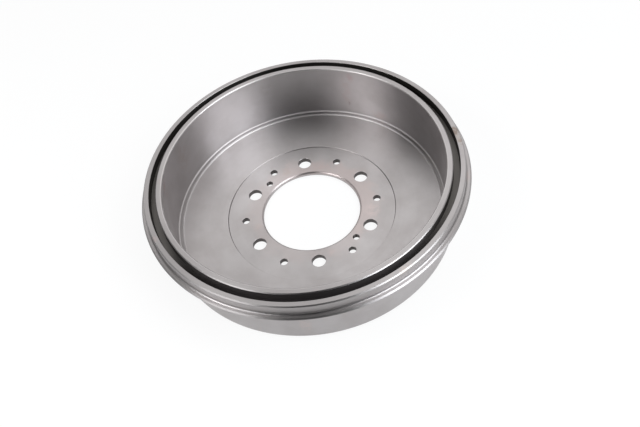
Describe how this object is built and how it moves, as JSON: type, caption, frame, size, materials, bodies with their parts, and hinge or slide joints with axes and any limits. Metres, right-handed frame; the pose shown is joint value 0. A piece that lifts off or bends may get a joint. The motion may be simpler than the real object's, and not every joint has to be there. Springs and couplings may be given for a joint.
{
  "type": "brake drum",
  "caption": "Shallow open cast-iron brake drum with a smooth friction wall, a grooved double-lipped rim, a thin outer flange, and a flat web with a central bore and bolt holes.",
  "frame": {"origin": "centre of the flat wheel face, the lowest plane of the drum", "axes": "+Z along the drum's axis out of its open end; X and Y lie in the wheel face, with the stud holes at 30 degrees and every 60 degrees from +X"},
  "size_m": [0.345, 0.345, 0.078],
  "materials": {
    "machined_iron": "fine-turned bare grey iron, satin, with fine concentric tool marks, faint pink-brown stains and a few rust specks"
  },
  "bodies": {
    "root": {"brake_drum": "machined_iron"}
  },
  "joints": []
}
